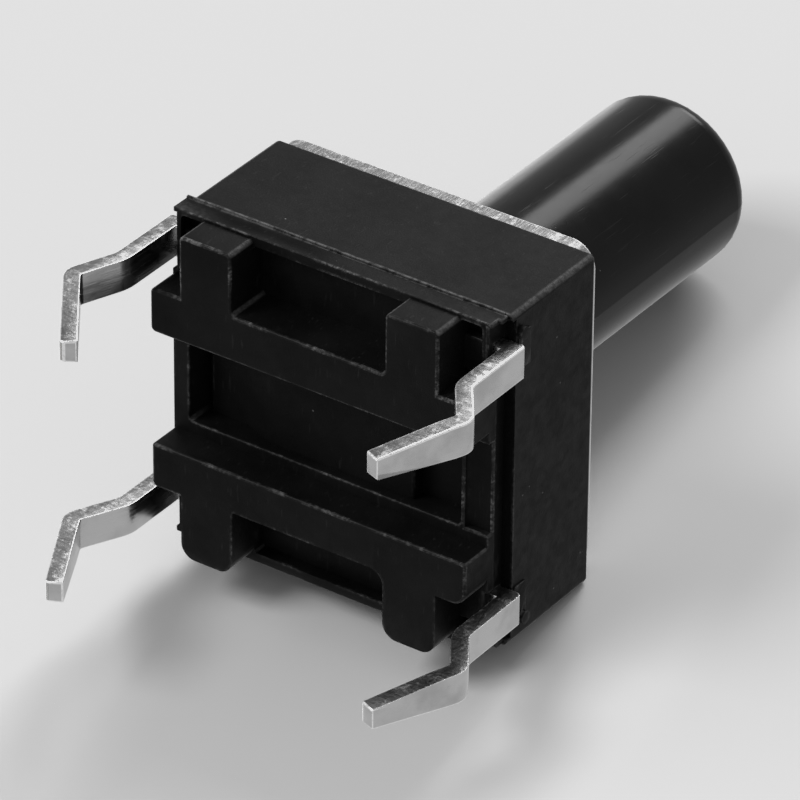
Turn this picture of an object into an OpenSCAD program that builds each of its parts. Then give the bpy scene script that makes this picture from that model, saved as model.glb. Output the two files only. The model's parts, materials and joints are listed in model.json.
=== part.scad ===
// Tactile push button switch, 6 x 6 mm body, long round stem, four snap-in through-hole legs.
// Millimetres. +Z points along the stem, away from the board. The origin is the middle of the
// leg pattern on the plane where the housing's standoff bars sit on the board.

/* [Housing] */
// Side of the square housing
housing_side = 6; // [5.6:0.1:7.5]
// Height of the base part, from the board to the parting line
base_h = 0.97; // [0.93:0.01:1.2]
// Height of the upper housing, from the parting line to the cover plate
skirt_h = 2.23; // [2.15:0.01:3]
// Radius of the upright edges
housing_edge_r = 0.1; // [0.05:0.01:0.2]
// How far the base part stands back from the housing's sides
base_inset = 0.02; // [0.01:0.01:0.05]
// How far the upper housing's outside sits off centre, from its half of the mould
mould_shift = 0.12; // [0:0.01:0.12]
// How far the moulding flash stands proud at the parting line
flash_proud = 0.015; // [0.01:0.005:0.03]
// Diameter of the round switch chamber
chamber_d = 4.6; // [4.5:0.05:4.8]

/* [Underside] */
// Distance from the middle to the inner side of a standoff bar
bar_inner_y = 1.03; // [0.95:0.01:1.15]
// Width of a standoff bar
bar_w = 0.79; // [0.6:0.01:0.85]
// Half the length over the corner blocks
block_half_x = 2.42; // [2.3:0.01:2.5]
// How far the blocks stand back from the housing's side
block_inset = 0.07; // [0.05:0.01:0.15]
// Half the width of the notch between two blocks
notch_half_x = 1.44; // [1:0.01:1.6]
// Distance from the middle to the upper notch's inner wall
upper_wall_y = 1.84; // [1.7:0.01:2]
// Distance from the middle to the lower notch's inner wall
lower_wall_y = 1.75; // [1.7:0.01:2]
// Width of the lip behind a notch
lip_w = 0.19; // [0.15:0.01:0.25]
// Height of the lips and ledges above the board
rim_z = 0.6; // [0.5:0.05:0.65]
// Height of the notch floors above the board
notch_z = 0.85; // [0.75:0.05:0.9]
// Height of the corner pockets' ceilings above the board
pocket_z = 0.9; // [0.85:0.01:0.92]
// Height of the middle floor above the board
middle_z = 0.78; // [0.72:0.01:0.85]
// Height of the deep hollows at the ends of the middle floor
hollow_z = 1.05; // [0.95:0.01:1.15]
// Radius of the upper blocks' corners and of the upper bar's ends
upper_block_r = 0.09; // [0.05:0.01:0.3]
// Radius of the lower blocks' corners
lower_block_r = 0.26; // [0.05:0.01:0.3]
// Radius of the pocket corners
small_r = 0.08; // [0.05:0.01:0.12]

/* [Cover plate] */
// Side of the cover plate
cover_side = 5.88; // [5.4:0.02:5.9]
// Thickness of the cover plate
cover_t = 0.3; // [0.2:0.05:0.4]
// Radius of the cover plate's corners
cover_r = 0.42; // [0.3:0.02:0.6]
// Distance between the staked posts along one side
post_pitch = 4.7; // [4.6:0.05:4.8]
// Diameter of a post where it passes through the plate
post_d = 0.7; // [0.5:0.05:0.8]
// Diameter of a post's melted head
head_d = 1; // [0.9:0.05:1.1]
// Height of a post's melted head
head_h = 0.13; // [0.1:0.01:0.2]
// Gap between a post and its hole in the plate
post_gap = 0.03; // [0.01:0.01:0.05]

/* [Stem] */
// Diameter of the stem
stem_d = 3; // [2.8:0.1:3.6]
// Length of the stem above the cover plate
stem_above_cover = 6.8; // [1:0.1:10]
// How far the stem's guide section, which runs in the cover plate, stands out all round
guide_step = 0.18; // [0.16:0.01:0.2]
// How far the guide section stands above the cover plate
guide_proud = 0.06; // [0.05:0.01:0.2]
// Radius of the rounded edge at the stem's tip
stem_edge_r = 0.4; // [0.1:0.02:0.5]
// Diameter of the stem's flange inside the chamber
flange_d = 4.4; // [4.3:0.02:4.4]
// Thickness of the flange
flange_h = 0.7; // [0.5:0.05:0.8]
// Width of the two guide lugs on the flange
lug_w = 0.6; // [0.4:0.05:0.8]
// How far the lugs reach past the flange
lug_reach = 0.28; // [0.2:0.02:0.3]
// Diameter of the plunger that presses on the dome
plunger_d = 1.3; // [1:0.1:1.6]
// Radial gap between the guide section and the cover plate's hole
stem_gap = 0.08; // [0.05:0.01:0.1]
// Gap between the lugs and their grooves
lug_gap = 0.08; // [0.05:0.01:0.1]
// Travel of the button
travel = 0.25; // [0.2:0.01:0.3]

/* [Snap dome] */
// Diameter of the dome's rim
dome_d = 4; // [3.8:0.05:4.1]
// Thickness of the dome's sheet
dome_t = 0.07; // [0.05:0.01:0.1]
// Air under the dome's top once it has snapped
dome_slack = 0.02; // [0.01:0.01:0.05]
// Gap between parts that rest lightly on each other
seat_gap = 0.02; // [0.01:0.01:0.03]

/* [Terminals] */
// Thickness of the terminal strip
metal_t = 0.28; // [0.24:0.01:0.3]
// Width of a leg
leg_w = 0.55; // [0.45:0.05:0.65]
// Width of a leg at its tip
leg_tip_w = 0.36; // [0.3:0.01:0.45]
// Distance between the legs along one side of the housing
leg_pitch_y = 4.5; // [4.4:0.1:4.6]
// Gap between the housing's side and a leg
leg_stand_off = 0.05; // [0.05:0.01:0.1]
// Radius of the outer corner where a leg turns down
leg_corner_r = 0.08; // [0.05:0.01:0.2]
// How much lower a strip leaves the housing than it runs inside it
strip_drop = 0.25; // [0.2:0.01:0.25]
// Length of the right legs below the board's surface
leg_length_right = 2.76; // [2.5:0.02:3.5]
// Length of the left legs below the board's surface
leg_length_left = 2.84; // [2.5:0.02:3.5]
// Depth of the bend where a leg leaves its straight run
kink_start = 0.42; // [0.3:0.02:0.6]
// Depth of the widest point of a right leg
kink_depth_right = 1.18; // [1:0.02:1.4]
// Depth of the widest point of a left leg
kink_depth_left = 1.26; // [1:0.02:1.4]
// How far the upper right leg bends outwards
kink_out_upper_right = 0.55; // [0.2:0.01:0.6]
// How far the lower right leg bends outwards
kink_out_lower_right = 0.5; // [0.2:0.01:0.6]
// How far the upper left leg bends outwards
kink_out_upper_left = 0.34; // [0.2:0.01:0.6]
// How far the lower left leg bends outwards
kink_out_lower_left = 0.42; // [0.2:0.01:0.6]
// How far the right legs lean back in at the tip
lean_right = 0.62; // [0.3:0.02:1.2]
// How far the upper left leg leans back in at the tip
lean_upper_left = 1.1; // [0.3:0.02:1.2]
// How far the lower left leg leans back in at the tip
lean_lower_left = 0.82; // [0.3:0.02:1.2]
// Width of the strip that joins two legs inside the housing
strip_w = 0.7; // [0.5:0.05:0.8]
// Diameter of the raised contacts
contact_d = 0.7; // [0.5:0.05:0.8]
// Plastic over the strips, which the contacts reach through
strip_cover = 0.1; // [0.08:0.01:0.15]

/* [Hidden] */
$fn = 64;

eps = 0.01;
// How far a cutting shape reaches past what it cuts
overcut = 1;
half = housing_side / 2;
base_half = half - base_inset;
housing_top = base_h + skirt_h;
cover_top = housing_top + cover_t;
stem_tip = cover_top + stem_above_cover;
bar_outer_y = bar_inner_y + bar_w;
block_y = half - block_inset;
lip_y = half - lip_w;

// Heights inside the housing: the strips lie a little above the parting line, and step down
// where they leave the housing
strip_rise = 0.04;
strip_z = base_h + strip_rise;
strip_top = strip_z + metal_t;
exit_z = strip_z - strip_drop;
exit_top = exit_z + metal_t;
chamber_floor = strip_top + strip_cover;
dome_rise = travel + dome_slack;
dome_top = chamber_floor + dome_rise + dome_t;
flange_top = housing_top - seat_gap;
plunger_z = dome_top + seat_gap;
guide_top = cover_top + guide_proud;
guide_d = stem_d + 2 * guide_step;

// The dome is part of a sphere: its radius follows from its rim and its rise
dome_r = (pow(dome_d / 2, 2) + pow(dome_rise, 2)) / (2 * dome_rise);

// Legs
leg_x = half + leg_stand_off + metal_t / 2;
leg_y = leg_pitch_y / 2;
leg_in_y = leg_y - leg_w / 2;
leg_out_y = leg_y + leg_w / 2;
leg_tip_rise = metal_t * 0.15;
taper_below_kink = 0.3;
strip_inset_y = 0.1;
strip_in_y = bar_inner_y + strip_inset_y;
joggle_start_in = 0.65;
joggle_end_in = 0.25;
strip_end_x = half - joggle_start_in;
joggle_end_x = half - joggle_end_in;

// What is cut away to round an upright edge that stands at the origin
module edge_cut(r, h) {
    difference() {
        translate([-eps, -eps, 0])
            cube([r + eps, r + eps, h]);
        translate([r, r, -eps])
            cylinder(r = r, h = h + 2 * eps);
    }
}

// Upright block between two corners. Each upright edge has its own radius: the one at the low
// corner first, then the others counter-clockwise as seen from above.
module block(low, high, radii) {
    difference() {
        box(low, high);
        for (i = [0:3]) {
            right = i == 1 || i == 2;
            back = i > 1;
            translate([right ? high.x : low.x, back ? high.y : low.y, low.z - eps])
                mirror([right ? 1 : 0, 0, 0])
                    mirror([0, back ? 1 : 0, 0])
                        edge_cut(radii[i], high.z - low.z + 2 * eps);
        }
    }
}

module rounded_block(low, high, r) {
    block(low, high, [r, r, r, r]);
}

module box(low, high) {
    translate(low)
        cube(high - low);
}

// The same shape on both sides of the XZ plane
module both_y() {
    children();
    mirror([0, 1, 0])
        children();
}

module both_x() {
    children();
    mirror([1, 0, 0])
        children();
}

// ---- Housing ------------------------------------------------------------------------

// Standoff bar with its two corner blocks, for the +Y side. The web between the blocks is
// trimmed to the notch's wall by notch().
inner_r = 0.05;

module standoff(wall_y, corner_r, bar_in_r, bar_right_r) {
    block([-base_half, bar_inner_y, 0], [base_half, bar_outer_y, rim_z + eps],
          [bar_in_r, inner_r, bar_right_r, upper_block_r]);
    both_x()
        block([notch_half_x, bar_inner_y + small_r, 0], [block_half_x, block_y, rim_z + eps],
              [inner_r, inner_r, corner_r, corner_r]);
    box([-notch_half_x - eps, bar_inner_y + small_r, 0],
        [notch_half_x + eps, wall_y + lower_block_r, rim_z + eps]);
}

// Notch between two blocks: it ends at a low lip along the housing's side
module notch(wall_y, left_r, right_r) {
    block([-notch_half_x, wall_y, -overcut], [notch_half_x, lip_y, notch_z],
          [left_r, right_r, inner_r, inner_r]);
}

// Cored-out pocket beside a block. A bed of plastic under the strip is left standing in it.
pocket_out_x = half - 0.18;
pocket_out_y = half - 0.11;
bed_z = exit_z - 0.05;
bed_side = 0.05;

module corner_pocket() {
    difference() {
        block([block_half_x, bar_outer_y, -overcut], [pocket_out_x, pocket_out_y, pocket_z],
              [inner_r, inner_r, small_r, inner_r]);
        box([0, leg_in_y - bed_side, bed_z], [half, leg_out_y + bed_side, half]);
    }
}

// Recess along the +X side, just under the upper housing, and open towards the board beside
// the legs. It ends at the corner cheeks, which carry the upper housing's outline down.
recess_low = middle_z + 0.01;
recess_high = base_h + 0.1;
recess_depth = 0.08;
recess_end_y = bar_outer_y + 0.08;
cheek_low = base_h - 0.17;

module side_recess() {
    box([half - recess_depth, -recess_end_y, recess_low],
        [half + overcut, recess_end_y, recess_high]);
    both_y()
        box([half - recess_depth, recess_end_y - eps, -overcut],
            [half + overcut, pocket_out_y, recess_high]);
}

module corner_cheeks() {
    both_y()
        box([half - recess_depth, pocket_out_y, cheek_low],
            [half + mould_shift - small_r, base_half, base_h + eps]);
}

// Hollows of the middle, between the bars
middle_y = bar_inner_y - 0.21;
hollow_left = -half + 0.31;
hollow_right = half - 0.53;
slot_w = 0.11;
slot_z = hollow_z + 0.15;
ramp_start = -half + 1.1;
ramp_end = -half + 2;
ramp_foot_l = 0.3;
ramp_foot_h = 0.04;
step_x = half - 1.53;
ridge_w = 0.06;
end_floor_z = middle_z - 0.06;

module middle_hollow() {
    intersection() {
        rounded_block([hollow_left, -middle_y, -overcut], [hollow_right, middle_y, half], small_r);
        translate([0, middle_y + eps, 0])
            rotate([90, 0, 0])
                linear_extrude(2 * middle_y + 2 * eps)
                    polygon([[hollow_left - eps, -overcut], [hollow_left - eps, slot_z],
                             [hollow_left + slot_w, slot_z], [hollow_left + slot_w, hollow_z],
                             [ramp_start, hollow_z],
                             [ramp_end - ramp_foot_l, middle_z + ramp_foot_h],
                             [ramp_end, middle_z], [step_x, middle_z], [step_x, hollow_z],
                             [hollow_right + eps, hollow_z], [hollow_right + eps, -overcut]]);
    }
    box([hollow_right + ridge_w, -middle_y, -overcut], [half + overcut, middle_y, end_floor_z]);
}

module base_hollows() {
    notch(lower_wall_y, inner_r, lower_block_r);
    mirror([0, 1, 0])
        notch(upper_wall_y, small_r, small_r);
    both_x()
        both_y()
            corner_pocket();
    both_x()
        side_recess();
    middle_hollow();
}

// Raised patch over a strip's exit, with the moulded nub beside it
patch_t = 0.03;
patch_over = 0.1;
patch_low = recess_high + 0.03;
patch_top = base_h + 0.46;
nub_r = 0.11;
nub_h = 0.09;
lower_nub_z = base_h + 0.38;
upper_nub_z = base_h + 0.21;

module leg_patch(nub_z) {
    box([half - eps, leg_in_y, patch_low], [half + patch_t, leg_out_y + patch_over, patch_top]);
    translate([half - eps, leg_out_y + patch_over, nub_z])
        rotate([0, 90, 0])
            cylinder(r = nub_r, h = nub_h + eps, $fn = 32);
}

// Thin line of flash along the parting line of the front and back sides
flash_h = 0.03;

module flash() {
    box([-base_half, -half - flash_proud, base_h - flash_h / 2],
        [base_half, half + flash_proud, base_h + flash_h / 2]);
}

head_crown_r = head_d * 0.9;

module post() {
    translate([post_pitch / 2, post_pitch / 2, housing_top - eps]) {
        cylinder(d = post_d, h = cover_t + 2 * eps, $fn = 32);
        // melted head: a low crown with a rounded rim
        translate([0, 0, cover_t + eps])
            rotate_extrude($fn = 32)
                intersection() {
                    translate([0, head_h - head_crown_r])
                        circle(r = head_crown_r, $fn = 96);
                    square([head_d / 2, head_h]);
                }
    }
}

groove_floor = chamber_floor + 0.3;

module chamber() {
    translate([0, 0, chamber_floor])
        cylinder(d = chamber_d, h = housing_side);
    // grooves that guide the stem's lugs
    both_x()
        box([0, -lug_w / 2 - lug_gap, groove_floor],
            [flange_d / 2 + lug_reach + lug_gap, lug_w / 2 + lug_gap, housing_side]);
}

module base() {
    color("#16181b")
        difference() {
            union() {
                box([-base_half, -base_half, rim_z], [base_half, base_half, base_h + eps]);
                rounded_block([mould_shift - half, -half, base_h],
                              [mould_shift + half, half, housing_top], housing_edge_r);
                standoff(lower_wall_y, lower_block_r, inner_r, lower_block_r);
                mirror([0, 1, 0])
                    standoff(upper_wall_y, upper_block_r, upper_block_r, upper_block_r);
                flash();
                corner_cheeks();
                translate([mould_shift, 0, 0])
                    both_x() {
                        leg_patch(lower_nub_z);
                        mirror([0, 1, 0])
                            leg_patch(upper_nub_z);
                    }
                both_x()
                    both_y()
                        post();
            }
            base_hollows();
            chamber();
            outer_contact_terminal_body();
            centre_contact_terminal_body();
        }
}

// ---- Terminals ----------------------------------------------------------------------

function unit(v) = v / norm(v);
function turned(v) = [-v.y, v.x];

// Samples of a strip's middle line, as [point, direction], with each bend rounded by a
// parabola that starts cut before the corner and ends cut after it
function bend(a, b, c, cut, steps) =
    let (p = b - unit(b - a) * cut, q = b + unit(c - b) * cut)
    [for (i = [0:steps])
        let (t = i / steps)
        [(1 - t) * (1 - t) * p + 2 * t * (1 - t) * b + t * t * q,
         unit((1 - t) * (b - p) + t * (q - b))]];

function strip_line(path, cuts, steps) =
    let (last = len(path) - 1)
    concat([[path[0], unit(path[1] - path[0])]],
           [for (i = [1:last - 1]) each bend(path[i - 1], path[i], path[i + 1], cuts[i - 1], steps)],
           [[path[last], unit(path[last] - path[last - 1])]]);

function strip_outline(line, t) =
    concat([for (s = line) s[0] + turned(s[1]) * t / 2],
           [for (i = [len(line) - 1:-1:0]) line[i][0] - turned(line[i][1]) * t / 2]);

bend_steps = 6;
exit_bend = 0.12;
kink_bend = 0.13;

// Side view of a strip from inside the housing to the corner where it turns down
function exit_path() =
    [[strip_end_x - leg_w / 2, strip_z + metal_t / 2],
     [strip_end_x, strip_z + metal_t / 2],
     [joggle_end_x, exit_z + metal_t / 2],
     [leg_x, exit_z + metal_t / 2]];

// Side view of a leg from that corner to its tip, in X and Z
function leg_path(kink_depth, kink_out, lean, length) =
    [[leg_x, exit_z + eps],
     [leg_x, -kink_start],
     [leg_x + kink_out, -kink_depth],
     [leg_x + kink_out - lean, -length + leg_tip_rise]];

module strip_side(path, cuts) {
    translate([0, leg_w / 2, 0])
        rotate([90, 0, 0])
            linear_extrude(leg_w)
                polygon(strip_outline(strip_line(path, cuts, bend_steps), metal_t));
}

module leg(kink_depth, kink_out, lean, length) {
    taper_start = kink_depth + taper_below_kink;
    intersection() {
        union() {
            strip_side(exit_path(), [exit_bend, exit_bend]);
            strip_side(leg_path(kink_depth, kink_out, lean, length), [kink_bend, kink_bend]);
            difference() {
                box([leg_x - metal_t / 2, -leg_w / 2, exit_z],
                    [leg_x + metal_t / 2, leg_w / 2, exit_top]);
                translate([leg_x + metal_t / 2, leg_w / 2 + eps, exit_top])
                    rotate([90, 90, 0])
                        mirror([0, 1, 0])
                            edge_cut(leg_corner_r, leg_w + 2 * eps);
            }
        }
        // front view: the leg narrows towards its tip
        rotate([90, 0, 90])
            linear_extrude(housing_side * 2)
                polygon([[-leg_w / 2, housing_side], [-leg_w / 2, -taper_start],
                         [-leg_tip_w / 2, -length], [leg_tip_w / 2, -length],
                         [leg_w / 2, -taper_start], [leg_w / 2, housing_side]]);
    }
}

// Two legs and the strip between them, for the +Y side
module leg_pair(kink_out_right, kink_out_left, lean_left) {
    translate([0, leg_y, 0]) {
        leg(kink_depth_right, kink_out_right, lean_right, leg_length_right);
        mirror([1, 0, 0])
            leg(kink_depth_left, kink_out_left, lean_left, leg_length_left);
    }
    box([-strip_end_x, strip_in_y, strip_z],
        [strip_end_x, strip_in_y + strip_w, strip_top]);
    both_x()
        box([strip_end_x - leg_w, strip_in_y, strip_z], [strip_end_x, leg_out_y, strip_top]);
}

contact_angle = 45;
contact_ring = dome_d / 2 - contact_d * 0.3;

module contact(x, y) {
    translate([x, y, strip_top - eps])
        cylinder(d = contact_d, h = strip_cover + eps, $fn = 48);
}

// Terminal under the dome's rim
module outer_contact_terminal_body() {
    mirror([0, 1, 0])
        leg_pair(kink_out_upper_right, kink_out_upper_left, lean_upper_left);
    for (side = [-1, 1])
        contact(side * contact_ring * sin(contact_angle), -contact_ring * cos(contact_angle));
}

// Terminal under the dome's middle
module centre_contact_terminal_body() {
    leg_pair(kink_out_lower_right, kink_out_lower_left, lean_lower_left);
    box([-contact_d / 2, -contact_d / 2, strip_z],
        [contact_d / 2, strip_in_y + strip_w / 2, strip_top]);
    contact(0, 0);
}

module outer_contact_terminal() {
    color("#c3c8cc")
        outer_contact_terminal_body();
}

module centre_contact_terminal() {
    color("#c3c8cc")
        centre_contact_terminal_body();
}

// ---- Snap dome, stem and cover plate --------------------------------------------------

module snap_dome() {
    color("#b9bcc0")
        translate([0, 0, chamber_floor + dome_rise - dome_r])
            rotate_extrude($fn = 64)
                intersection() {
                    difference() {
                        circle(r = dome_r + dome_t, $fn = 360);
                        circle(r = dome_r, $fn = 360);
                    }
                    translate([0, dome_r - dome_rise])
                        square([dome_d / 2, dome_rise + dome_t + eps]);
                }
}

module stem() {
    color("#121316") {
        // round rod with a rounded tip edge, on a slightly wider guide section
        translate([0, 0, guide_top - eps])
            cylinder(d = stem_d, h = stem_tip - stem_edge_r - guide_top + eps);
        translate([0, 0, flange_top - eps])
            cylinder(d = guide_d, h = guide_top - flange_top + eps);
        rotate_extrude() {
            translate([0, stem_tip - stem_edge_r - eps])
                square([stem_d / 2 - stem_edge_r, stem_edge_r + eps]);
            translate([stem_d / 2 - stem_edge_r, stem_tip - stem_edge_r])
                intersection() {
                    circle(r = stem_edge_r, $fn = 32);
                    translate([0, -eps])
                        square(stem_edge_r + eps);
                }
        }
        translate([0, 0, flange_top - flange_h])
            cylinder(d = flange_d, h = flange_h);
        both_x()
            box([0, -lug_w / 2, flange_top - flange_h],
                [flange_d / 2 + lug_reach, lug_w / 2, flange_top]);
        translate([0, 0, plunger_z])
            cylinder(d = plunger_d, h = flange_top - flange_h - plunger_z + eps, $fn = 48);
    }
}

module cover_plate() {
    color("#c9ccd0")
        difference() {
            rounded_block([-cover_side / 2, -cover_side / 2, housing_top],
                          [cover_side / 2, cover_side / 2, cover_top], cover_r);
            translate([0, 0, housing_top - overcut])
                cylinder(d = guide_d + 2 * stem_gap, h = cover_t + 2 * overcut);
            both_x()
                both_y()
                    translate([post_pitch / 2, post_pitch / 2, housing_top - overcut])
                        cylinder(d = post_d + 2 * post_gap, h = cover_t + 2 * overcut, $fn = 32);
        }
}

base();
outer_contact_terminal();
centre_contact_terminal();
snap_dome();
stem();
cover_plate();
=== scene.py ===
"""Looks of a 6 x 6 mm tactile push button switch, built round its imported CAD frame.

Everything is in metres in the part's own frame: +Z points along the stem and away from the
board. Lengths that are easier to read in millimetres are written as a number times MM.
"""
import json
import math

import bmesh
import bpy
from mathutils import Matrix, Vector

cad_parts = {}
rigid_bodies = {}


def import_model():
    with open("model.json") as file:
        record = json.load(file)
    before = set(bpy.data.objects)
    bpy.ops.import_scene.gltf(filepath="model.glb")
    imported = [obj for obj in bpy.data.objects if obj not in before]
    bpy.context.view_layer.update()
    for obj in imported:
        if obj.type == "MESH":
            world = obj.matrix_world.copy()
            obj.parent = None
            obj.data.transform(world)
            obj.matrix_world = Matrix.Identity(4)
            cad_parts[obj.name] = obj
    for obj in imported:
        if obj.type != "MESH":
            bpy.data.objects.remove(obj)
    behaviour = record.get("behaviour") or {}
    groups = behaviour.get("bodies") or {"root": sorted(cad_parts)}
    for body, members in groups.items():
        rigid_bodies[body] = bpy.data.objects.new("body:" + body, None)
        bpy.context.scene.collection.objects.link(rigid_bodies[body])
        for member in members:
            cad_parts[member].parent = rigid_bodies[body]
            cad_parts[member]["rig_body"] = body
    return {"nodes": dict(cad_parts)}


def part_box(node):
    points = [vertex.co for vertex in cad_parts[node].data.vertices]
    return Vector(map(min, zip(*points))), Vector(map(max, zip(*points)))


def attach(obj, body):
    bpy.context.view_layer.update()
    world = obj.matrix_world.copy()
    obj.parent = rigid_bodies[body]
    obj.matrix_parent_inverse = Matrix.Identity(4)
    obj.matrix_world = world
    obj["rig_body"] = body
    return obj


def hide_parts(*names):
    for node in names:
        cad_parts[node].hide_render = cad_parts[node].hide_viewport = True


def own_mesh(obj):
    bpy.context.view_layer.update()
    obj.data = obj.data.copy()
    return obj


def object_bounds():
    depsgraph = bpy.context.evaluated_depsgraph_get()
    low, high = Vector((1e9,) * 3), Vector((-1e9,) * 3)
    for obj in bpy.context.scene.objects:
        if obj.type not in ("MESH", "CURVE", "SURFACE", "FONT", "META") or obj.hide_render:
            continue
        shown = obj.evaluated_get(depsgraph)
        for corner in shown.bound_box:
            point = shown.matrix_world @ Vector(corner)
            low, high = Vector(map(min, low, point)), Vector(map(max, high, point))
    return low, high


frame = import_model()
cad_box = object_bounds()

MM = 0.001
nodes = frame["nodes"]


# ---- Shader helpers ---------------------------------------------------------------------

OCCLUSION_SAMPLES = 6


class Shader:
    """A material's node tree, with one short call for each node."""

    def __init__(self, name):
        self.material = bpy.data.materials.new(name)
        self.material.use_nodes = True
        self.tree = self.material.node_tree
        self.tree.nodes.clear()
        self.place = self.scaled(self.add("TexCoord").outputs["Object"], 1 / MM)

    def add(self, kind, inputs=(), **settings):
        """A new node. inputs says what each socket is: a plain value or another node's output."""
        node = self.tree.nodes.new("ShaderNode" + kind)
        for key, value in settings.items():
            setattr(node, key, value)
        for socket, value in dict(inputs).items():
            if isinstance(value, bpy.types.NodeSocket):
                self.tree.links.new(value, node.inputs[socket])
            else:
                node.inputs[socket].default_value = value
        return node

    def scaled(self, vector, factor):
        return self.add("VectorMath", {0: vector, "Scale": factor}, operation="SCALE").outputs[0]

    def stretched(self, vector, scale):
        """The same place with each axis scaled, so that a texture runs along one of them."""
        return self.add("VectorMath", {0: vector, 1: scale}, operation="MULTIPLY").outputs[0]

    def noise(self, scale, detail=2.0, rough=0.5, at=None):
        """Noise of that many features per millimetre, around 0.5."""
        sockets = {"Vector": at or self.place, "Scale": scale, "Detail": detail, "Roughness": rough}
        return self.add("TexNoise", sockets).outputs["Fac"]

    def spread(self, value, low, high, to_low=0.0, to_high=1.0):
        """The value's stretch from low to high, eased and laid over to_low to to_high."""
        sockets = {"Value": value, 1: low, 2: high, 3: to_low, 4: to_high}
        return self.add("MapRange", sockets, interpolation_type="SMOOTHSTEP").outputs[0]

    def math(self, operation, a, b=0.0):
        return self.add("Math", {0: a, 1: b}, operation=operation).outputs[0]

    def product(self, *values):
        out = values[0]
        for value in values[1:]:
            out = self.math("MULTIPLY", out, value)
        return out

    def total(self, *values):
        out = values[0]
        for value in values[1:]:
            out = self.math("ADD", out, value)
        return out

    def mix(self, share, a, b):
        """Colour a where share is 0, and b where it is 1."""
        node = self.add("Mix", {0: share, 6: a, 7: b}, data_type="RGBA")
        return node.outputs[2]

    def edge(self, reach):
        """1 on a convex edge and 0 away from it, within reach of the edge."""
        near = self.add("AmbientOcclusion", {"Distance": reach}, inside=True, only_local=True,
                        samples=OCCLUSION_SAMPLES)
        return self.spread(near.outputs["AO"], 0.45, 0.98, 1.0, 0.0)

    def exposed(self, reach):
        """1 where nothing of the piece stands within reach, and 0 deep in a recess."""
        open_sky = self.add("AmbientOcclusion", {"Distance": reach}, only_local=True,
                            samples=OCCLUSION_SAMPLES)
        return self.spread(open_sky.outputs["AO"], 0.4, 0.75)

    def facing(self, output):
        """The surface's direction along X, Y and Z of the piece itself, from that geometry output."""
        ahead = self.add("NewGeometry").outputs[output]
        local = self.add("VectorTransform", {"Vector": ahead}, vector_type="NORMAL", convert_from="WORLD",
                         convert_to="OBJECT").outputs[0]
        return self.add("SeparateXYZ", {0: local}).outputs

    def specks(self, per_mm, size, share):
        """Small dust specks, 1 on a speck. Of the cells, that share holds one each."""
        cells = self.add("TexVoronoi", {"Vector": self.place, "Scale": per_mm})
        dot = self.spread(cells.outputs["Distance"], size * 0.6, size, 1.0, 0.0)
        picked = self.add("SeparateColor", {0: cells.outputs["Color"]}).outputs[0]
        return self.product(dot, self.math("LESS_THAN", picked, share))

    def finish(self, sockets):
        """The finished material, with those sockets of its one surface shader filled in."""
        shader = self.add("BsdfPrincipled", sockets)
        output = self.add("OutputMaterial", {"Surface": shader.outputs[0]})
        output.is_active_output = True
        return self.material


def grey(level, warmth=0.0):
    """A grey of that linear level. Positive warmth is yellower and negative is bluer."""
    return (level * (1 + warmth), level, level * (1 - warmth), 1.0)


# ---- Materials --------------------------------------------------------------------------

# The housing's parting line: its height and how far out it runs, in millimetres
PARTING_Z = 0.97
OUTER_Y = 2.96
# How strongly the housing's upright corners and its parting line are painted lighter, partly as scuffing
# and partly as painted highlight
CORNER_SCUFF_AND_HIGHLIGHT = 0.6
LINE_SCUFF_AND_HIGHLIGHT = 0.8
# How far from an edge the plastic is painted lighter, as scuffing and as painted highlight, and how far a
# wall keeps that lightening away
SCUFF_AND_HIGHLIGHT_REACH = 0.06 * MM
SHELTER_REACH = 0.5 * MM
# How wide the bright burr is round a sheared side
BURR_REACH = 0.03 * MM
# Grey levels of what is brighter than the plastic or the metal itself
SCUFF_AND_HIGHLIGHT_LEVEL = 0.20
DUST_LEVEL = 0.17
GLINT_LEVEL = 0.85
BURR_LEVEL = 0.95
# The plastic's shine is a little blue
PLASTIC_SHINE = (0.66, 0.86, 1.0, 1.0)


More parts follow.
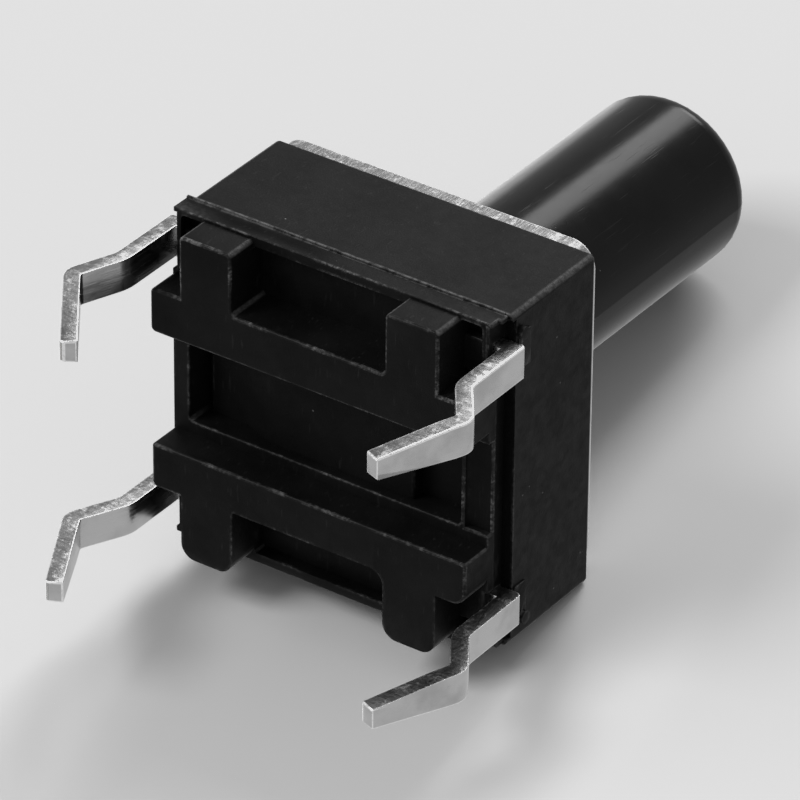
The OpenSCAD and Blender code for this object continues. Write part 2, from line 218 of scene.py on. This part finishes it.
def moulded_plastic(name, level, roughness, specular, scuff_and_highlight, mottling, grain, dust, scratch_along,
                    squared=0.0, on_edges=False):
    """Near-black moulded thermoplastic: mould grain, patches of different gloss, lighter edges
    that are partly scuffing and partly painted highlight, fine scratches and a little dust. squared is 1
    for the square housing, whose upright corners and parting line get that lightening too. on_edges is for
    the rounded edges themselves."""
    s = Shader(name)
    patches = s.noise(0.9, 3.0, 0.55)
    mottle = s.noise(5.0, 3.0, 0.6)
    along_edge = s.spread(s.noise(1.1, 5.0, 0.75), 0.42, 0.64, 0.0, 1.0)
    nicks = s.spread(s.noise(14.0, 4.0, 0.75), 0.42, 0.62, 0.12, 1.0)
    facing = s.facing("Normal")
    place = s.add("SeparateXYZ", {0: s.place}).outputs
    turned = s.math("ABSOLUTE", s.product(facing["X"], facing["Y"]))
    # Upright corners painted lighter: partly scuffing, partly a painted highlight along the rounded corner
    upright_corner = s.product(s.spread(turned, 0.1, 0.42), s.spread(nicks, 0.0, 1.0, 0.45, 1.0),
                               squared * CORNER_SCUFF_AND_HIGHLIGHT)
    # Parting line painted lighter: partly flash and scuffing, partly a painted highlight where the ridge
    # catches the light
    off_line = s.math("ABSOLUTE", s.math("SUBTRACT", place["Z"], PARTING_Z))
    outside = s.spread(s.math("ABSOLUTE", place["Y"]), OUTER_Y, OUTER_Y + 0.02)
    ragged = s.spread(s.noise(7.0, 4.0, 0.7), 0.38, 0.6, 0.1, 1.0)
    parting_line = s.product(s.spread(off_line, 0.02, 0.06, 1.0, 0.0), outside, ragged,
                             squared * LINE_SCUFF_AND_HIGHLIGHT)
    # Convex edges painted lighter: partly scuffing, partly painted edge highlights
    edge_scuff_and_highlight = s.product(along_edge, nicks)
    if not on_edges:
        edge_scuff_and_highlight = s.product(edge_scuff_and_highlight, s.edge(SCUFF_AND_HIGHLIGHT_REACH))
    strongest = s.math("MAXIMUM", edge_scuff_and_highlight, s.math("MAXIMUM", upright_corner, parting_line))
    # These marks together are painted lighter colour, partly scuffing and partly painted highlight, kept
    # out of recesses
    scuffed_and_highlit = s.product(strongest, s.exposed(SHELTER_REACH), scuff_and_highlight)
    dusty = s.specks(4.5, 0.09, dust)
    scratches = s.spread(s.noise(1.6, 2.0, 0.5, s.stretched(s.place, scratch_along)), 0.64, 0.74)
    body = s.mix(s.spread(patches, 0.3, 0.7), grey(level * 0.7, -0.40), grey(level * 1.4, -0.30))
    marked = s.mix(s.product(scratches, 0.5), body, grey(level * 5, -0.10))
    # The lightened colour stands partly for scuffing and partly for painted highlight
    scuffed_and_highlit_colour = s.mix(scuffed_and_highlit, marked, grey(SCUFF_AND_HIGHLIGHT_LEVEL, -0.04))
    colour = s.mix(dusty, scuffed_and_highlit_colour, grey(DUST_LEVEL))
    gloss = s.total(s.spread(mottle, 0.25, 0.75, roughness - mottling, roughness + mottling),
                    s.product(scuffed_and_highlit, 0.1), s.product(scratches, 0.06), -0.1 if on_edges else 0.0)
    height = s.total(s.product(s.noise(26.0, 2.0, 0.6), grain),
                     s.product(s.noise(3.0, 2.0, 0.5), grain * 2.5),
                     s.product(scratches, -0.3), s.product(scuffed_and_highlit, nicks, -1.5), s.product(dusty, 2.0))
    bump = s.add("Bump", {"Strength": 0.35, "Distance": 0.006 * MM, "Height": height})
    return s.finish({"Base Color": colour, "Roughness": gloss, "Normal": bump.outputs[0],
                     "Specular IOR Level": specular * (1.5 if on_edges else 1.0),
                     "Specular Tint": PLASTIC_SHINE})


def sheet_metal(name, level, torn_level, roughness, rolled_along, torn_along, on_edges=False):
    """Stamped strip: a rolled, finely lined face, and torn, striated edges where it was sheared.
    The sheared sides are those that face along Y. on_edges is for the bright burr round them."""
    s = Shader(name)
    sheared = s.spread(s.math("ABSOLUTE", s.facing("True Normal")["Y"]), 0.6, 0.8)
    lines = s.noise(1.0, 3.0, 0.6, s.stretched(s.place, rolled_along))
    stains = s.noise(1.6, 4.0, 0.6)
    torn = s.noise(1.0, 3.0, 0.7, s.stretched(s.place, torn_along))
    pits = s.noise(24.0, 3.0, 0.65)
    blotches = s.noise(6.0, 3.0, 0.65)
    rim = s.spread(pits, 0.36, 0.52, 0.55, 1.0)
    if not on_edges:
        rim = s.product(rim, s.edge(BURR_REACH))
    face = s.mix(s.spread(stains, 0.35, 0.7), grey(level, 0.015), grey(level * 0.78, 0.02))
    ragged = s.mix(s.spread(torn, 0.36, 0.64), grey(torn_level * 0.6), grey(torn_level))
    pitted = s.mix(s.spread(pits, 0.58, 0.70), ragged, grey(torn_level * 0.45))
    glinting = s.mix(s.spread(blotches, 0.52, 0.68, 0.0, 0.45), pitted, grey(GLINT_LEVEL))
    base = s.mix(sheared, face, glinting)
    bright = s.mix(rim, base, grey(BURR_LEVEL))
    gloss = s.total(s.spread(lines, 0.3, 0.7, roughness - 0.05, roughness + 0.07),
                    s.product(sheared, s.spread(pits, 0.3, 0.7, 0.1, 0.25), 0.3 if on_edges else 1.0))
    height = s.total(s.product(lines, 0.6), s.product(sheared, torn, 3.0),
                     s.product(sheared, pits, 1.5), s.product(stains, 1.2))
    bump = s.add("Bump", {"Strength": 0.4, "Distance": 0.008 * MM, "Height": height})
    return s.finish({"Base Color": bright, "Roughness": gloss, "Metallic": 1.0, "Normal": bump.outputs[0]})


HOUSING = {
    "level": 0.006, "roughness": 0.50, "specular": 0.085, "scuff_and_highlight": 0.85, "mottling": 0.08,
    "grain": 1.5, "dust": 0.04, "scratch_along": (14.0, 1.6, 5.0), "squared": 1.0,
}
STEM = {
    "level": 0.004, "roughness": 0.22, "specular": 0.13, "scuff_and_highlight": 0.35, "mottling": 0.02,
    "grain": 0.15, "dust": 0.03, "scratch_along": (16.0, 16.0, 0.7),
}
STRIP = {
    "level": 0.58, "torn_level": 0.25, "roughness": 0.22,
    "rolled_along": (1.5, 30.0, 1.5), "torn_along": (3.0, 3.0, 13.0),
}
COVER = {
    "level": 0.56, "torn_level": 0.26, "roughness": 0.30,
    "rolled_along": (0.8, 34.0, 34.0), "torn_along": (22.0, 22.0, 4.0),
}
DOME = {
    "level": 0.70, "torn_level": 0.50, "roughness": 0.22,
    "rolled_along": (6.0, 6.0, 6.0), "torn_along": (12.0, 12.0, 3.0),
}
housing_plastic = moulded_plastic("housing_plastic", **HOUSING)
housing_edges = moulded_plastic("housing_plastic_edges", **HOUSING, on_edges=True)
stem_plastic = moulded_plastic("stem_plastic", **STEM)
terminal_metal = sheet_metal("terminal_metal", **STRIP)
terminal_edges = sheet_metal("terminal_metal_edges", **STRIP, on_edges=True)
cover_metal = sheet_metal("cover_metal", **COVER)
cover_edges = sheet_metal("cover_metal_edges", **COVER, on_edges=True)
dome_metal = sheet_metal("dome_metal", **DOME)


# ---- Pieces -----------------------------------------------------------------------------

# How wide the rounding of an edge is, and in how many steps it turns
PLASTIC_EDGE = 0.045 * MM
METAL_EDGE = 0.03 * MM
EDGE_STEPS = 3
# An edge is rounded from SHARP_ANGLE up, and drawn as a crease from CREASE_ANGLE up
SHARP_ANGLE = math.radians(30)
CREASE_ANGLE = math.radians(35)
# Faces that turn less than this between them are one flat face
FLAT_ANGLE = math.radians(0.4)
WELD_DISTANCE = 2e-4 * MM
CUT_TOLERANCE = 1e-3 * MM
# Of the room on a face, the share that one edge's rounding may take, and where it is measured
ROOM_SHARE = 0.4
MEASURED_AT = (0.04, 0.5, 0.96)
# Two edges that meet run on smoothly where the cosine of their turn is above this
STRAIGHT_ON = 0.8
LEG_Y = 2.25 * MM
CONTACT_X = 1.27 * MM
# Flat faces with holes in them are split through the holes along these planes
SPLITS = [(0, 0), (0, CONTACT_X), (0, -CONTACT_X), (1, LEG_Y), (1, -LEG_Y)]


def room(loop):
    """How far it is across the loop's face, from its edge to the nearest edge opposite."""
    start, end = loop.vert.co, loop.link_loop_next.vert.co
    along = (end - start).normalized()
    inward = loop.face.normal.cross(along)
    nearest = math.inf
    others = [(side.vert.co, side.link_loop_next.vert.co) for side in loop.face.loops if side != loop]
    for share in MEASURED_AT:
        origin = start.lerp(end, share)
        for a, b in others:
            before, after = (a - origin).dot(along), (b - origin).dot(along)
            if before * after < 0 or before == 0:
                across = (a - origin).lerp(b - origin, before / (before - after)).dot(inward)
                if across > 0:
                    nearest = min(nearest, across)
    return nearest


def chains(edges):
    """The edges in groups, each of which runs on smoothly from edge to edge."""
    left = set(edges)
    while left:
        group = [left.pop()]
        for edge in group:
            for corner in edge.verts:
                away = (edge.other_vert(corner).co - corner.co).normalized()
                for other in corner.link_edges:
                    onward = (other.other_vert(corner).co - corner.co).normalized()
                    if other in left and away.dot(onward) < -STRAIGHT_ON:
                        left.remove(other)
                        group.append(other)
        yield group


def plain_faces(mesh):
    """Joins each flat area's triangles into one face without holes."""
    bmesh.ops.remove_doubles(mesh, verts=mesh.verts, dist=WELD_DISTANCE)
    for axis, place in SPLITS:
        normal = Vector((0, 0, 0))
        normal[axis] = 1
        whole = [*mesh.verts, *mesh.edges, *mesh.faces]
        cut = bmesh.ops.bisect_plane(mesh, geom=whole, dist=CUT_TOLERANCE, plane_co=normal * place,
                                     plane_no=normal)
        for item in cut["geom_cut"]:
            if isinstance(item, bmesh.types.BMEdge):
                item.seam = True
    bmesh.ops.dissolve_limit(mesh, angle_limit=FLAT_ANGLE, verts=mesh.verts, edges=mesh.edges,
                             delimit={"SEAM"})


def softened(node, width, material, edge_material):
    """A piece in place of a CAD node, with its outer edges rounded by width, as on the real
    part. Where a step is too small for that, its edges are rounded less."""
    mesh = bmesh.new()
    mesh.from_mesh(nodes[node].data)
    plain_faces(mesh)
    weight = mesh.edges.layers.float.new("bevel_weight_edge")
    outer = [edge for edge in mesh.edges
             if edge.is_manifold and edge.calc_face_angle_signed() > SHARP_ANGLE]
    for chain in chains(outer):
        narrowest = min(room(loop) for edge in chain for loop in edge.link_loops)
        for edge in chain:
            edge[weight] = min(1.0, ROOM_SHARE * narrowest / width)
    rough = bpy.data.meshes.new(node + "_edges")
    mesh.to_mesh(rough)
    mesh.free()
    rough.materials.append(material)
    rough.materials.append(edge_material)
    piece = bpy.data.objects.new(node + "_finish", rough)
    bpy.context.scene.collection.objects.link(piece)
    bevel = piece.modifiers.new("edges", "BEVEL")
    bevel.limit_method = "WEIGHT"
    bevel.width = width
    bevel.segments = EDGE_STEPS
    bevel.use_clamp_overlap = False
    bevel.material = 1
    rounded = piece.evaluated_get(bpy.context.evaluated_depsgraph_get())
    applied = bpy.data.meshes.new_from_object(rounded)
    piece.modifiers.clear()
    piece.data = applied
    applied.shade_smooth()
    applied.set_sharp_from_angle(angle=CREASE_ANGLE)
    normals = piece.modifiers.new("normals", "WEIGHTED_NORMAL")
    normals.keep_sharp = True
    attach(piece, nodes[node]["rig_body"])
    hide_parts(node)


softened("base", PLASTIC_EDGE, housing_plastic, housing_edges)
softened("outer_contact_terminal", METAL_EDGE, terminal_metal, terminal_edges)
softened("centre_contact_terminal", METAL_EDGE, terminal_metal, terminal_edges)
softened("cover_plate", METAL_EDGE, cover_metal, cover_edges)

for holder in nodes["stem"].material_slots:
    holder.material = stem_plastic

# The snap dome is drawn from a copy of its CAD mesh, in the dome metal
dome_mesh = nodes["snap_dome"].data.copy()
dome_mesh.materials.clear()
dome_mesh.materials.append(dome_metal)
dome = bpy.data.objects.new("snap_dome_finish", dome_mesh)
bpy.context.scene.collection.objects.link(dome)
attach(dome, nodes["snap_dome"]["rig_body"])
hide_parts("snap_dome")
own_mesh(dome)


# ---- Camera -----------------------------------------------------------------------------

# Where the photograph was taken from: below and beside the switch, which lies on its side
AIM = Vector((0.96, -0.64, 1.12)) * MM
CAMERA_AZIMUTH = math.radians(42.10)
CAMERA_ELEVATION = math.radians(-44.03)
CAMERA_ROLL = math.radians(52.98)
CAMERA_DISTANCE = 114.3 * MM
FOCAL_LENGTH = 334.8
NEAREST_SEEN = 5 * MM
FARTHEST_SEEN = 5.0

camera = bpy.data.objects.new("camera", bpy.data.cameras.new("camera"))
bpy.context.scene.collection.objects.link(camera)
camera.data.lens = FOCAL_LENGTH
camera.data.clip_start = NEAREST_SEEN
camera.data.clip_end = FARTHEST_SEEN
back = Vector((math.sin(CAMERA_AZIMUTH) * math.cos(CAMERA_ELEVATION),
               -math.cos(CAMERA_AZIMUTH) * math.cos(CAMERA_ELEVATION),
               math.sin(CAMERA_ELEVATION)))
level = (-back).to_track_quat("-Z", "Y").to_matrix().to_4x4()
camera.matrix_world = (Matrix.Translation(AIM + back * CAMERA_DISTANCE) @ level
                       @ Matrix.Rotation(CAMERA_ROLL, 4, "Z"))
bpy.context.scene.camera = camera


# ---- Stage ------------------------------------------------------------------------------

BACKGROUND = 0.76
ROOM_LIGHT = 0.38
GROUND_LEVEL = 0.8
GROUND_SIDE = 400 * MM
STEM_RADIUS = 1.5 * MM
# The camera of a view of the whole switch from beside it
SIDE_ELEVATION = math.radians(3)
FRAMING_MARGIN = 1.03


def one_sided(name):
    """Pale ground that is seen from its front only."""
    s = Shader(name)
    behind = s.add("NewGeometry").outputs["Backfacing"]
    diffuse = s.add("BsdfDiffuse", {"Color": grey(GROUND_LEVEL)})
    clear = s.add("BsdfTransparent")
    both = s.add("MixShader", {0: behind, 1: diffuse.outputs[0], 2: clear.outputs[0]})
    s.add("OutputMaterial", {"Surface": both.outputs[0]})
    return s.material


def ground(name, centre, up):
    """A large square sheet that faces up and takes the object's shadow. Only the camera sees it."""
    bpy.ops.mesh.primitive_plane_add(size=GROUND_SIDE)
    sheet = bpy.context.active_object
    sheet.name = name
    sheet.matrix_world = Matrix.Translation(centre) @ up.to_track_quat("Z", "Y").to_matrix().to_4x4()
    sheet.data.materials.append(one_sided(name))
    sheet.visible_diffuse = sheet.visible_glossy = False
    sheet.visible_transmission = sheet.visible_shadow = False
    sheet.is_shadow_catcher = True


leg_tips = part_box("outer_contact_terminal")[0].z
ground("board_floor", Vector((0, 0, leg_tips)), Vector((0, 0, 1)))

# In the main view the switch lies on its side: the cover plate's corner and the stem's tip rest
# on this second ground. It is turned by under a degree, so that it points at the camera beside
# the switch, which would otherwise see it as a thin dark line.
corner_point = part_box("cover_plate")[1]
tip_point = Vector((corner_point.x, STEM_RADIUS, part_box("stem")[1].z))
half_field = math.atan(camera.data.sensor_width / 2 / FOCAL_LENGTH)
stand_off = (cad_box[1] - cad_box[0]).length / 2 / math.sin(half_field) * FRAMING_MARGIN
beside = Vector((math.cos(SIDE_ELEVATION), 0, math.sin(SIDE_ELEVATION)))
side_camera = (cad_box[0] + cad_box[1]) / 2 + beside * stand_off
lying_up = (side_camera - corner_point).cross(tip_point - corner_point).normalized()
ground("lying_floor", corner_point, lying_up)


def softbox(name, place, width, height, watts):
    """A flat lamp at that place, aimed at the middle of the object. Its height runs along Z."""
    lamp = bpy.data.lights.new(name, "AREA")
    lamp.shape = "RECTANGLE"
    lamp.size = width
    lamp.size_y = height
    lamp.energy = watts
    holder = bpy.data.objects.new(name, lamp)
    bpy.context.scene.collection.objects.link(holder)
    middle = (cad_box[0] + cad_box[1]) / 2
    holder.location = place
    holder.rotation_euler = (middle - Vector(place)).to_track_quat("-Z", "Y").to_euler()


softbox("key", (-26 * MM, -142 * MM, 144 * MM), 72 * MM, 150 * MM, 0.34)
softbox("edge_light", (-96 * MM, -140 * MM, -106 * MM), 90 * MM, 90 * MM, 0.22)
softbox("back_light", (-170 * MM, 60 * MM, 100 * MM), 160 * MM, 160 * MM, 0.10)

# The room lights the switch softly. The camera, and what the metal mirrors, see the background.
world = bpy.data.worlds.new("studio")
bpy.context.scene.world = world
world.use_nodes = True
tree = world.node_tree
tree.nodes.clear()
path = tree.nodes.new("ShaderNodeLightPath")
lit = tree.nodes.new("ShaderNodeBackground")
lit.inputs["Color"].default_value = grey(1.0)
lit.inputs["Strength"].default_value = ROOM_LIGHT
shown = tree.nodes.new("ShaderNodeBackground")
shown.inputs["Color"].default_value = grey(1.0)
shown.inputs["Strength"].default_value = BACKGROUND
choice = tree.nodes.new("ShaderNodeMixShader")
out = tree.nodes.new("ShaderNodeOutputWorld")
seen_or_mirrored = path.outputs["Is Camera Ray"]
for rays in ("Is Glossy Ray", "Is Transmission Ray"):
    either = tree.nodes.new("ShaderNodeMath")
    either.operation = "MAXIMUM"
    tree.links.new(seen_or_mirrored, either.inputs[0])
    tree.links.new(path.outputs[rays], either.inputs[1])
    seen_or_mirrored = either.outputs[0]
tree.links.new(seen_or_mirrored, choice.inputs[0])
tree.links.new(lit.outputs[0], choice.inputs[1])
tree.links.new(shown.outputs[0], choice.inputs[2])
tree.links.new(choice.outputs[0], out.inputs[0])


# ---- View transform ---------------------------------------------------------------------

bpy.context.scene.view_settings.view_transform = "Standard"
